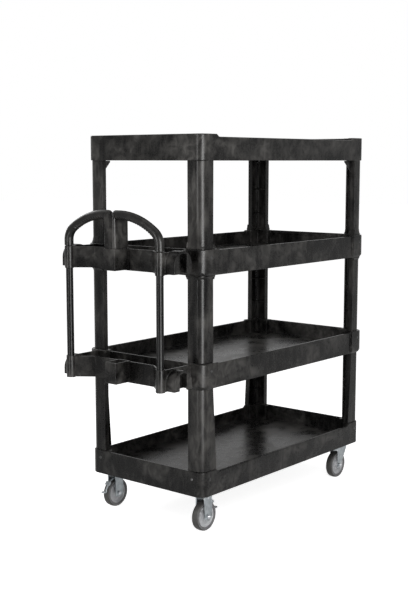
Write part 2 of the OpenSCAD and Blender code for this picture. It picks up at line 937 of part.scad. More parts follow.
module brake_arm_outline() {
    t = brake_t;
    polygon([
        [0, brake_pin_z + 5], [0, brake_pin_z + 5 - t], [44, 62], [70, 28], [70, brake_step_z - t],
        [76, brake_step_z - t], [76, brake_step_z], [73, brake_step_z], [73, 29], [46, 65],
    ]);
}

module brake_lever(side) {
    color(zinc) at_brake(side) difference() {
        union() {
            translate([0, brake_inner_y, 0]) rotate([90, 0, 0])
                linear_extrude(brake_arm_w) brake_arm_outline();
            along_y(-brake_barrel_w / 2)
                translate([0, -brake_pin_z, 0]) cylinder(r = brake_barrel_r, h = brake_barrel_w);
            brake_step();
            brake_shoe();
        }
        cross_bore(brake_pin_z, brake_pin_r + fit_gap);
    }
}

// Foot plate with a round end.
module brake_step() {
    end_r = brake_w / 2;
    translate([0, brake_inner_y - end_r, brake_step_z - brake_t]) linear_extrude(brake_t) {
        translate([brake_tip - end_r, 0]) circle(r = end_r);
        translate([70, -end_r]) square([brake_tip - end_r - 70, brake_w]);
    }
}

// Block that bears on the tread when the lever is down.
module brake_shoe() {
    rotate([0, -45, 0]) translate([brake_shoe_r, brake_inner_y - brake_w, -brake_shoe_w / 2])
        cube([brake_shoe_t, brake_w, brake_shoe_w]);
}

module brake_pins() {
    reach = leg_gap / 2 + leg_t;
    color(zinc) placed() both_sides() translate([-rigid_x, caster_y, axle_z + brake_pin_z]) {
        along_y(-reach) cylinder(r = brake_pin_r, h = 2 * reach);
        both_sides() along_y(reach) cylinder(r = brake_pin_r + 2, h = 1.5);
    }
}

// ---------------------------------------------------------------- the cart

top_tray();
upper_tray();
lower_tray();
bottom_tray();
post_low(handle_end, left_side);  // post_low_handle_left
post_low(handle_end, right_side);  // post_low_handle_right
post_low(nose_end, left_side);  // post_low_nose_left
post_low(nose_end, right_side);  // post_low_nose_right
post_mid(handle_end, left_side);  // post_mid_handle_left
post_mid(handle_end, right_side);  // post_mid_handle_right
post_mid(nose_end, left_side);  // post_mid_nose_left
post_mid(nose_end, right_side);  // post_mid_nose_right
post_high(handle_end, left_side);  // post_high_handle_left
post_high(handle_end, right_side);  // post_high_handle_right
post_high(nose_end, left_side);  // post_high_nose_left
post_high(nose_end, right_side);  // post_high_nose_right
handle_pillar();
handle_grip(left_side);  // handle_grip_left
handle_grip(right_side);  // handle_grip_right
handle_upright(left_side);  // handle_upright_left
handle_upright(right_side);  // handle_upright_right
screws_upper_tray();
screws_lower_tray();
screws_bottom_tray();
caster_bolts();
rigid_fork(left_side);  // rigid_fork_left
rigid_fork(right_side);  // rigid_fork_right
swivel_plate(left_side);  // swivel_plate_left
swivel_plate(right_side);  // swivel_plate_right
kingpin(left_side);  // kingpin_left
kingpin(right_side);  // kingpin_right
swivel_balls(left_side);  // swivel_balls_left
swivel_balls(right_side);  // swivel_balls_right
swivel_fork(left_side);  // swivel_fork_left
swivel_fork(right_side);  // swivel_fork_right
axle(-rigid_x, left_side);  // axle_rigid_left
axle(-rigid_x, right_side);  // axle_rigid_right
axle(swivel_x, left_side);  // axle_swivel_left
axle(swivel_x, right_side);  // axle_swivel_right
nut(-rigid_x, left_side);  // nut_rigid_left
nut(-rigid_x, right_side);  // nut_rigid_right
nut(swivel_x, left_side);  // nut_swivel_left
nut(swivel_x, right_side);  // nut_swivel_right
sleeve(-rigid_x, left_side);  // sleeve_rigid_left
sleeve(-rigid_x, right_side);  // sleeve_rigid_right
sleeve(swivel_x, left_side);  // sleeve_swivel_left
sleeve(swivel_x, right_side);  // sleeve_swivel_right
hub(-rigid_x, left_side);  // hub_rigid_left
hub(-rigid_x, right_side);  // hub_rigid_right
hub(swivel_x, left_side);  // hub_swivel_left
hub(swivel_x, right_side);  // hub_swivel_right
tyre(-rigid_x, left_side);  // tyre_rigid_left
tyre(-rigid_x, right_side);  // tyre_rigid_right
tyre(swivel_x, left_side);  // tyre_swivel_left
tyre(swivel_x, right_side);  // tyre_swivel_right
brake_lever(left_side);  // brake_lever_left
brake_lever(right_side);  // brake_lever_right
brake_pins();
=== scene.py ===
"""Rolling utility cart: finishes, softened moulded edges and small details.

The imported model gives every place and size. Moulded and pressed pieces are
shown as soft-edged copies of their solids, and the grips, wheels, bolts and
screw heads are modelled anew in the same places.
"""

import json
import logging
import math
from collections.abc import Callable, Iterable
from dataclasses import dataclass, field
from enum import Enum
from typing import Any

import bmesh
import bpy
from bmesh.types import BMEdge, BMesh, BMFace, BMVert
from mathutils import Matrix, Vector
from mathutils.bvhtree import BVHTree
from mathutils.kdtree import KDTree

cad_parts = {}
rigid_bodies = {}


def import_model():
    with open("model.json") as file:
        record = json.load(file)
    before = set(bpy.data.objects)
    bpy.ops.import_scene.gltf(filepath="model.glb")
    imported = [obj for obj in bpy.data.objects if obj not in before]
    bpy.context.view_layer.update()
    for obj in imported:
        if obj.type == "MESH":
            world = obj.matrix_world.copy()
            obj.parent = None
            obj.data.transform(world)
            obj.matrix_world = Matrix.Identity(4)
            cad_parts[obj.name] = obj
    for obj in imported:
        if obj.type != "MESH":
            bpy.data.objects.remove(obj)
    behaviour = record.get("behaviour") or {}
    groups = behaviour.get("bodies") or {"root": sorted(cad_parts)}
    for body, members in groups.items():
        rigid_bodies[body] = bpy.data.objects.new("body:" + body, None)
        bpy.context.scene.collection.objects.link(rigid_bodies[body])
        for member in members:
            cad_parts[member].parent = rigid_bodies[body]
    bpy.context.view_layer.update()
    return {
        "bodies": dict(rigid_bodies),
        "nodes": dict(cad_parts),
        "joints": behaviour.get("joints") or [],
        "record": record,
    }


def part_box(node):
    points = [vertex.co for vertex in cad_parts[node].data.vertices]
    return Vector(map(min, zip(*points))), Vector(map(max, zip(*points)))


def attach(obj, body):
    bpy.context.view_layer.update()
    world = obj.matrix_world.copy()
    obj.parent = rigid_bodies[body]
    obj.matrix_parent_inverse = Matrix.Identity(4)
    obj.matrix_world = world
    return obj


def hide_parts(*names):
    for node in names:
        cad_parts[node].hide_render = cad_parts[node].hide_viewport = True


LOG = logging.getLogger("cart")
MM = 0.001
CREASE = 38.0
MERGE = 0.002 * MM
SLIVER = 0.001 * MM

Colour = tuple[float, float, float]


class Slot(Enum):
    """The record's material slots."""

    TRAY = "tray_foam"
    POST = "post_foam"
    GRIP = "grip"
    PILLAR = "pillar"
    UPRIGHT = "upright"
    SCREW = "screw"
    TYRE = "tyre"
    HUB = "hub"
    BALLS = "ball_steel"
    BRIGHT = "bright_steel"
    ZINC = "zinc_steel"


class Side(Enum):
    """The two long sides of the cart, by the sign of Y."""

    LEFT = 1
    RIGHT = -1

    @property
    def word(self) -> str:
        """The side's name as the nodes spell it."""
        return self.name.lower()


# ---------------------------------------------------------------- shader sums


class Value:
    """A number socket that takes part in Python sums.

    Args:
        shader: the tree under construction.
        socket: the output socket that carries the number.
    """

    def __init__(self, shader: "Nodes", socket: bpy.types.NodeSocket) -> None:
        """Wraps the socket."""
        self.shader = shader
        self.socket = socket

    def _math(self, operation: str, *terms: Any) -> "Value":
        """Adds one Math node.

        Args:
            operation: the node's operation.
            terms: its inputs, in order.

        Returns:
            The node's result.
        """
        inputs = dict(enumerate(terms))
        return self.shader.value("ShaderNodeMath", {"operation": operation}, inputs)

    def __add__(self, other: Any) -> "Value":
        """self + other."""
        return self._math("ADD", self, other)

    __radd__ = __add__

    def __mul__(self, other: Any) -> "Value":
        """self * other."""
        return self._math("MULTIPLY", self, other)

    __rmul__ = __mul__

    def smooth(self, low: float, high: float) -> "Value":
        """A soft step from 0 at low to 1 at high.

        Args:
            low: where the step starts.
            high: where it ends.

        Returns:
            The stepped value.
        """
        settings = {"interpolation_type": "SMOOTHSTEP"}
        return self.shader.value("ShaderNodeMapRange", settings, {0: self, 1: low, 2: high})


class Nodes:
    """A node tree that is built through one method.

    Args:
        tree: the tree that gets the nodes.
    """

    def __init__(self, tree: bpy.types.NodeTree) -> None:
        """Takes the tree as it is."""
        self.tree = tree

    def node(self, kind: str, settings: dict[str, Any], inputs: dict[Any, Any]) -> bpy.types.Node:
        """Adds any node.

        Args:
            kind: the node's type.
            settings: attributes, set before the sockets.
            inputs: a value or a link for each socket, by name or number.

        Returns:
            The new node.
        """
        made = self.tree.nodes.new(kind)
        for key, value in settings.items():
            setattr(made, key, value)
        for key, value in inputs.items():
            socket = made.inputs[key]
            if isinstance(value, Value):
                self.tree.links.new(value.socket, socket)
            elif isinstance(value, bpy.types.NodeSocket):
                self.tree.links.new(value, socket)
            else:
                socket.default_value = value
        return made

    def value(self, kind: str, settings: dict[str, Any], inputs: dict[Any, Any]) -> Value:
        """Adds a node and wraps its first output.

        Args:
            kind: the node's type.
            settings: attributes of the node.
            inputs: values or links for its sockets.

        Returns:
            The node's first output.
        """
        return Value(self, self.node(kind, settings, inputs).outputs[0])

    def seen(self) -> Value:
        """1 for the rays that show a backdrop: camera, glossy and transmitted ones."""
        rays = self.node("ShaderNodeLightPath", {}, {}).outputs
        camera, glossy, through = (
            Value(self, rays[f"Is {kind} Ray"]) for kind in ("Camera", "Glossy", "Transmission")
        )
        return camera + glossy + through


class Shader(Nodes):
    """A Principled material that is built node by node.

    Args:
        name: the material's name.
        sockets: constant values for the Principled node's sockets.
    """

    def __init__(self, name: str, sockets: dict[str, Any]) -> None:
        """Makes the material and sets its constant sockets."""
        self.material = bpy.data.materials.new(name)
        self.material.use_nodes = True
        super().__init__(self.material.node_tree)
        self.surface = self.tree.nodes["Principled BSDF"]
        for key, value in sockets.items():
            self.surface.inputs[key].default_value = value

    def place(self, stretch: tuple[float, float, float] = (1, 1, 1)) -> bpy.types.NodeSocket:
        """Object coordinates in metres, stretched along the axes.

        Args:
            stretch: how much the pattern is squeezed along X, Y and Z.

        Returns:
            The vector socket.
        """
        coords = self.node("ShaderNodeTexCoord", {}, {}).outputs["Object"]
        mapping = self.node("ShaderNodeMapping", {}, {"Vector": coords, "Scale": stretch})
        return mapping.outputs["Vector"]

    def noise(
        self,
        size: float,
        detail: float = 2,
        stretch: tuple[float, float, float] = (1, 1, 1),
        swirl: float = 0,
    ) -> Value:
        """Cloudy noise.

        Args:
            size: width of a typical blotch in metres.
            detail: how many finer layers it has.
            stretch: squeeze along each axis.
            swirl: how far the clouds are dragged about.

        Returns:
            A value about 0.5.
        """
        inputs = {"Vector": self.place(stretch), "Scale": 1 / size, "Detail": detail}
        inputs["Distortion"] = swirl
        return self.value("ShaderNodeTexNoise", {}, inputs)

    def colour(self, dark: Colour, light: Colour, share: Value) -> None:
        """Blends two colours into the Base Color.

        Args:
            dark: the colour where share is 0.
            light: the colour where share is 1.
            share: the blend.
        """
        mix = self.node(
            "ShaderNodeMix",
            {"data_type": "RGBA"},
            {0: share, 6: (*dark, 1), 7: (*light, 1)},
        )
        self.tree.links.new(mix.outputs[2], self.surface.inputs["Base Color"])

    def set(self, socket: str, value: Value) -> None:
        """Feeds a varying value to one Principled socket.

        Args:
            socket: the socket's name.
            value: what it gets.
        """
        self.tree.links.new(value.socket, self.surface.inputs[socket])

    def bump(self, height: Value, depth: float) -> None:
        """Raises the surface by a height pattern.

        Args:
            height: the pattern, from 0 to 1.
            depth: its depth in metres.
        """
        node = self.node("ShaderNodeBump", {}, {"Height": height, "Distance": depth})
        node.inputs["Strength"].default_value = 1
        self.tree.links.new(node.outputs["Normal"], self.surface.inputs["Normal"])


# ---------------------------------------------------------------- finishes


@dataclass(frozen=True)
class FoamFinish:
    """Black structural foam with swirled blotches and a fine pebbled skin.

    Attributes:
        name: the material's name.
        dark: colour of the dense skin.
        light: colour of the greyer swirls.
        rough: roughness of the dense skin.
        swirl_rough: how much duller the swirls are.
        flow: squeeze of the swirls along each axis.
        blotch: width of the larger swirls in metres.
    """

    name: str
    dark: Colour = (0.001, 0.001, 0.001)
    light: Colour = (0.095, 0.091, 0.086)
    rough: float = 0.22
    swirl_rough: float = 0.2
    flow: tuple[float, float, float] = (1, 1, 1)
    blotch: float = 0.13

    def make(self) -> bpy.types.Material:
        """Builds the material."""
        shader = Shader(self.name, {"Specular IOR Level": 0.1})
        across, along, up = self.flow
        broad = shader.noise(self.blotch, 2, self.flow, 0.7).smooth(0.36, 0.68)
        wisps = shader.noise(self.blotch / 3.2, 3, self.flow, 1.2).smooth(0.36, 0.7)
        streaks = shader.noise(0.022, 2, (across, along, up * 0.22), 0.6).smooth(0.42, 0.72)
        grain = shader.noise(0.006, 3).smooth(0.3, 0.7)
        swirl = broad * (wisps * 0.5 + 0.26) + streaks * 0.12 + grain * 0.08
        shader.colour(self.dark, self.light, swirl)
        shader.set("Roughness", swirl * self.swirl_rough + grain * 0.05 + self.rough)
        pebbles = shader.noise(0.0016, 2)
        shader.bump(pebbles * 0.7 + wisps * 0.3, 0.0002)
        return shader.material


@dataclass(frozen=True)
class SmoothFinish:
    """Even moulded plastic with a faint orange-peel skin.

    Attributes:
        name: the material's name.
        colour: main colour.
        worn: colour of the handled or dusty patches.
        rough: mean roughness.
        skin: depth of the skin's ripple in metres.
        shine: specular level.
    """

    name: str
    colour: Colour
    worn: Colour
    rough: float
    skin: float = 0.00012
    shine: float = 0.5

    def make(self) -> bpy.types.Material:
        """Builds the material."""
        shader = Shader(self.name, {"Specular IOR Level": self.shine})
        cloud = shader.noise(0.045, 3, swirl=0.6).smooth(0.4, 0.72)
        fine = shader.noise(0.002, 3)
        shader.colour(self.colour, self.worn, cloud * 0.7 + fine * 0.3)
        shader.set("Roughness", cloud * 0.14 + fine * 0.08 + (self.rough - 0.1))
        shader.bump(fine, self.skin)
        return shader.material


@dataclass(frozen=True)
class SteelFinish:
    """Plated steel with faint spangle and drawn streaks.

    Attributes:
        name: the material's name.
        dark: colour of the duller crystals.
        light: colour of the brighter crystals.
        rough: mean roughness.
        streak: squeeze of the streaks along each axis.
    """

    name: str
    dark: Colour
    light: Colour
    rough: float
    streak: tuple[float, float, float] = (1, 1, 0.2)

    def make(self) -> bpy.types.Material:
        """Builds the material."""
        shader = Shader(self.name, {"Metallic": 1.0})
        cloud = shader.noise(0.018, 3, swirl=0.5).smooth(0.35, 0.7)
        streaks = shader.noise(0.0018, 3, self.streak)
        shader.colour(self.dark, self.light, cloud * 0.6 + streaks * 0.4)
        shader.set("Roughness", streaks * 0.16 + cloud * 0.08 + (self.rough - 0.1))
        shader.bump(streaks, 0.00005)
        return shader.material


@dataclass(frozen=True)
class TreadFinish:
    """Grey non-marking rubber, dusty on the tread and scuffed on the walls.

    Attributes:
        name: the material's name.
        dark: clean rubber.
        light: dusty rubber.
        rough: mean roughness.
    """

    name: str
    dark: Colour
    light: Colour
    rough: float = 0.62

    def make(self) -> bpy.types.Material:
        """Builds the material."""
        shader = Shader(self.name, {"Specular IOR Level": 0.35})
        dust = shader.noise(0.012, 4, swirl=0.4).smooth(0.36, 0.7)
        grit = shader.noise(0.0012, 3)
        shader.colour(self.dark, self.light, dust * 0.65 + grit * 0.35)
        shader.set("Roughness", grit * 0.2 + (self.rough - 0.1))
        shader.bump(grit * 0.6 + dust * 0.4, 0.0002)
        return shader.material


class Paintbox:
    """Every finish of the cart, made once and shared by slot."""

    def __init__(self) -> None:
        """Makes every finish."""
        black = (0.006, 0.0059, 0.0056)
        handled = (0.034, 0.0325, 0.030)
        deep = (0.002, 0.002, 0.002)
        deep_worn = (0.006, 0.006, 0.0056)
        finishes = {
            Slot.TRAY: FoamFinish("tray_foam_skin"),
            Slot.POST: FoamFinish("post_foam_skin", flow=(1, 1, 0.4), blotch=0.11),
            Slot.GRIP: SmoothFinish("grip_plastic", black, handled, 0.36, shine=0.12),
            Slot.PILLAR: FoamFinish("pillar_plastic", flow=(1, 1, 0.5), blotch=0.08),
            Slot.UPRIGHT: SmoothFinish("upright_sleeve", deep, deep_worn, 0.3, shine=0.09),
            Slot.SCREW: SteelFinish("dark_screw", (0.03, 0.03, 0.03), (0.09, 0.09, 0.09), 0.42),
            Slot.TYRE: TreadFinish("grey_rubber", (0.024, 0.0225, 0.0205), (0.05, 0.047, 0.043)),
            Slot.HUB: SmoothFinish(
                "grey_hub", (0.63, 0.635, 0.655), (0.55, 0.555, 0.57), 0.42, 0.1 * MM
            ),
            Slot.BALLS: SteelFinish("ball_race", (0.7, 0.7, 0.7), (0.85, 0.85, 0.85), 0.15),
            Slot.BRIGHT: SteelFinish("bright_zinc", (0.30, 0.31, 0.33), (0.45, 0.46, 0.47), 0.3),
            Slot.ZINC: SteelFinish(
                "pressed_zinc", (0.16, 0.175, 0.185), (0.29, 0.31, 0.32), 0.34
            ),
        }
        self.by_slot: dict[Slot, bpy.types.Material] = {
            slot: finish.make() for slot, finish in finishes.items()
        }
        self.wall_rubber = TreadFinish(
            "wall_rubber", (0.16, 0.158, 0.162), (0.23, 0.228, 0.232), 0.5
        ).make()
        self.ring = SmoothFinish("rim_ring", (0.66, 0.66, 0.68), (0.58, 0.58, 0.60), 0.3).make()


# ---------------------------------------------------------------- workshop


@dataclass
class Workshop:
    """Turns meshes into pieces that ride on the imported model.

    Attributes:
        paints: the finishes.
    """

    frame: dict[str, Any]
    paints: Paintbox = field(default_factory=Paintbox)

    def body(self, node: str) -> str:
        """The body that holds a node.

        Args:
            node: the node's name.

        Returns:
            The body's name.
        """
        groups = self.frame["record"]["behaviour"]["bodies"]
        return next(name for name, nodes in groups.items() if node in nodes)

    def slot_of(self, node: str) -> Slot:
        """The material slot of a node.

        Args:
            node: the node's name.

        Returns:
            Its slot.
        """
        parts = self.frame["record"]["subparts"]
        return Slot(next(part["material_slot"] for part in parts if part["node"] == node))

    def finish(
        self,
        name: str,
        bm: BMesh,
        node: str,
        extra: tuple[bpy.types.Material, ...] = (),
        crease: float = CREASE,
        stands_in: bool = True,
    ) -> bpy.types.Object:
        """Makes a piece from a mesh and puts it in the place of a node.

        Args:
            name: the piece's name.
            bm: its mesh, placed where the node is; it is freed here.
            node: the node whose body and slot it takes.
            extra: finishes after the first, by material index.
            crease: edges sharper than this many degrees stay crisp.
            stands_in: whether the node is hidden behind the piece.

        Returns:
            The new object.
        """
        mesh = bpy.data.meshes.new(name)
        for face in bm.faces:
            face.smooth = True
        bm.to_mesh(mesh)
        bm.free()
        mesh.set_sharp_from_angle(angle=math.radians(crease))
        slot = self.slot_of(node)
        for material in (self.paints.by_slot[slot], *extra):
            mesh.materials.append(material)
        piece = bpy.data.objects.new(name, mesh)
        bpy.context.scene.collection.objects.link(piece)
        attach(piece, self.body(node))
        if stands_in:
            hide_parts(node)
        LOG.info("%s: %d faces, for %s", name, len(mesh.polygons), node)
        return piece

    def copy_mesh(self, node: str) -> BMesh:
        """A node's solid as a clean merged mesh.

        Args:
            node: the node's name.

        Returns:
            The merged mesh.
        """
        bm = bmesh.new()
        bm.from_mesh(self.frame["nodes"][node].data)
        bmesh.ops.remove_doubles(bm, verts=bm.verts, dist=MERGE)
        bmesh.ops.dissolve_degenerate(bm, edges=bm.edges, dist=SLIVER)
        return bm

    def soften(self, node: str, *widths: float) -> None:
        """Shows a node as a copy with rounded edges that stays inside the node's box.

        Args:
            node: the node's name.
            widths: roundings in metres, widest first; an edge gets the first that has room.
        """
        bm = self.copy_mesh(node)
        for width in widths:
            bm = Rounding(bm, width).apply()
        low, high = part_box(node)
        for vert in bm.verts:
            for axis in range(3):
                vert.co[axis] = min(max(vert.co[axis], low[axis]), high[axis])
        even_shading(self.finish(f"{node}_skin", bm, node).data)

    def paint(self, node: str) -> None:
        """Gives a node that stays in view its finish.

        Args:
            node: the node's name.
        """
        target = self.frame["nodes"][node]
        target.data.materials.clear()
        target.data.materials.append(self.paints.by_slot[self.slot_of(node)])
        LOG.info("%s: painted", node)


def even_shading(mesh: bpy.types.Mesh, crease: float = CREASE) -> None:
    """Keeps flats flat and lets the roundings run smoothly into them.

    Every corner takes the mean normal of the faces at its point that lie within
    the crease angle of its own face, by area.

    Args:
        mesh: the mesh to shade.
        crease: the angle in degrees.
    """
    limit = math.cos(math.radians(crease))
    tie_break = 1e-9
    around: list[list[tuple[Vector, float]]] = [[] for _ in mesh.vertices]
    for face in mesh.polygons:
        for index in face.vertices:
            around[index].append((face.normal.copy(), face.area))
    normals = []
    for face in mesh.polygons:
        own = face.normal
        for index in face.vertices:
            mean = own * tie_break
            for normal, area in around[index]:
                if normal.dot(own) > limit:
                    mean = mean + normal * area
            normals.append(mean.normalized())
    mesh.normals_split_custom_set(normals)


def round_edges(bm: BMesh, edges: list[BMEdge], width: float, segments: int) -> None:
    """Rounds some edges of a mesh.

    Args:
        bm: the mesh.
        edges: the edges.
        width: the rounding in metres.
        segments: facets across each rounding.
    """
    bmesh.ops.bevel(
        bm,
        geom=edges,
        offset=width,
        offset_type="OFFSET",
        segments=segments,
        profile=0.5,
        affect="EDGES",
        clamp_overlap=False,
        loop_slide=False,
        material=-1,
    )


class Rounding:
    """Rounds the sharp edges of a solid that have room for it.

    Args:
        bm: the solid; the rounded copy takes its place.
        width: the rounding in metres.

    Attributes:
        sharp: edges that turn less than this stay as they are.
        facets: facets across a rounding.
        skin_reach: how far the old skin is looked for, in widths.
        skin_slack: what is added to that distance.
        agreement: least likeness of a new face to the old skin near it.
        speck: faces smaller than this many square metres don't count as folds.
        vertex_reach: how far from a fold its edges are given up, in widths.
    """

    sharp = math.radians(34)
    facets = 3
    skin_reach = 1.6
    skin_slack = 0.4 * MM
    agreement = 0.2
    speck = 1e-7
    vertex_reach = 2

    def __init__(self, bm: BMesh, width: float) -> None:
        """Files the solid's faces and corners by place."""
        self.bm = bm
        self.width = width
        for group in (bm.verts, bm.edges):
            group.index_update()
            group.ensure_lookup_table()
        self.skin = BVHTree.FromBMesh(bm)
        self.points = KDTree(len(bm.verts))
        for vert in bm.verts:
            self.points.insert(vert.co, vert.index)
        self.points.balance()

    def _trial(self, chosen: set[int]) -> BMesh:
        """A copy with the chosen edges rounded."""
        copy = self.bm.copy()
        copy.edges.ensure_lookup_table()
        round_edges(copy, [copy.edges[i] for i in chosen], self.width, self.facets)
        return copy

    def _folds(self, trial: BMesh) -> list[Vector]:
        """Finds where a rounding has folded the skin over.

        Args:
            trial: the rounded copy.

        Returns:
            The middles and corners of faces that no face of the solid near them agrees with.
        """
        found = []
        reach = self.width * self.skin_reach + self.skin_slack
        for face in trial.faces:
            middle = face.calc_center_median()
            around = self.skin.find_nearest_range(middle, reach)
            agrees = any(normal.dot(face.normal) > self.agreement for _, normal, _, _ in around)
            if not agrees and face.calc_area() > self.speck:
                found += [middle] + [vert.co for vert in face.verts]
        return found

    def apply(self) -> BMesh:
        """Rounds what can be rounded, and leaves tight edges crisp.

        Returns:
            The rounded mesh; the one given is freed.
        """
        chosen = {
            edge.index
            for edge in self.bm.edges
            if edge.is_manifold and edge.calc_face_angle(0) > self.sharp
        }
        reach = self.width * self.vertex_reach
        while True:
            trial = self._trial(chosen)
            near = {
                index
                for point in self._folds(trial)
                for _, index, _ in self.points.find_range(point, reach)
            }
            tight = {edge.index for i in near for edge in self.bm.verts[i].link_edges} & chosen
            if not tight:
                self.bm.free()
                return trial
            chosen -= tight
            trial.free()


def lathe(
    bm: BMesh,
    outline: list[tuple[float, float]],
    centre: Vector,
    axis: Vector,
    steps: int,
) -> list[BMFace]:
    """Turns a closed outline about an axis.

    Args:
        bm: the mesh that gets the turned shape.
        outline: (radius, distance along the axis) points in metres.
        centre: the point on the axis from which distances count.
        axis: the axis as a unit vector.
        steps: facets round the circle.

    Returns:
        The new faces.
    """
    before = set(bm.faces)
    out = axis.orthogonal().normalized()
    ring = [bm.verts.new(centre + out * r + axis * a) for r, a in outline]
    edges = [bm.edges.new((ring[i - 1], ring[i])) for i in range(len(ring))]
    bmesh.ops.spin(
        bm,
        geom=ring + edges,
        cent=centre,
        axis=axis,
        angle=math.tau,
        steps=steps,
        use_merge=True,
        use_duplicate=False,
    )
    made = [face for face in bm.faces if face not in before]
    verts = list({vert for face in made for vert in face.verts})
    bmesh.ops.remove_doubles(bm, verts=verts, dist=SLIVER)
    made = [face for face in bm.faces if face not in before]
    bmesh.ops.recalc_face_normals(bm, faces=made)
    return made


def arc(
    radius: float, centre: tuple[float, float], start: float, end: float, steps: int
) -> list[tuple[float, float]]:
    """Points along an arc of an outline.

    Args:
        radius: the arc's radius.
        centre: its centre.
        start: first angle in degrees.
        end: last angle in degrees.
        steps: how many chords.

    Returns:
        steps + 1 points.
    """
    points = []
    for i in range(steps + 1):
        angle = math.radians(start + (end - start) * i / steps)
        points.append(
            (centre[0] + radius * math.cos(angle), centre[1] + radius * math.sin(angle))
        )
    return points


def raised(
    bm: BMesh,
    face: BMFace,
    height: float,
    reach: Callable[[float], float],
) -> BMFace:
    """Extrudes a level face about the Z axis and gives its corners new places.

    Args:
        bm: the mesh.
        face: the face.
        height: where the new face lies.
        reach: gives a corner's distance from the axis for its angle.

    Returns:
        The new face.
    """
    top = bmesh.ops.extrude_discrete_faces(bm, faces=[face])["faces"][0]
    for vert in top.verts:
        angle = math.atan2(vert.co.y, vert.co.x)
        far = reach(angle)
        vert.co = Vector((far * math.cos(angle), far * math.sin(angle), height))
    return top


# ---------------------------------------------------------------- sub-assemblies


@dataclass
class Trays:
    """The four lipped trays.

    Attributes:
        shop: the workshop.
        edge: rounding of the moulded edges in metres.
        fine_edge: rounding of the edges that have less room.
    """

    shop: Workshop
    edge: float = 3.2 * MM
    fine_edge: float = 1.2 * MM

    def build(self) -> None:
        """Shows all four trays with softened edges."""
        for level in ("top", "upper", "lower", "bottom"):
            self.shop.soften(f"{level}_tray", self.edge, self.fine_edge)


@dataclass
class Posts:
    """The twelve corner posts.

    Attributes:
        shop: the workshop.
        edge: rounding of the moulded edges in metres.
        fine_edge: rounding of the edges that have less room.
    """

    shop: Workshop
    edge: float = 2.6 * MM
    fine_edge: float = 1.1 * MM

    def build(self) -> None:
        """Shows all posts with softened edges."""
        for tier in ("low", "mid", "high"):
            for end in ("handle", "nose"):
                for side in Side:
                    node = f"post_{tier}_{end}_{side.word}"
                    self.shop.soften(node, self.edge, self.fine_edge)


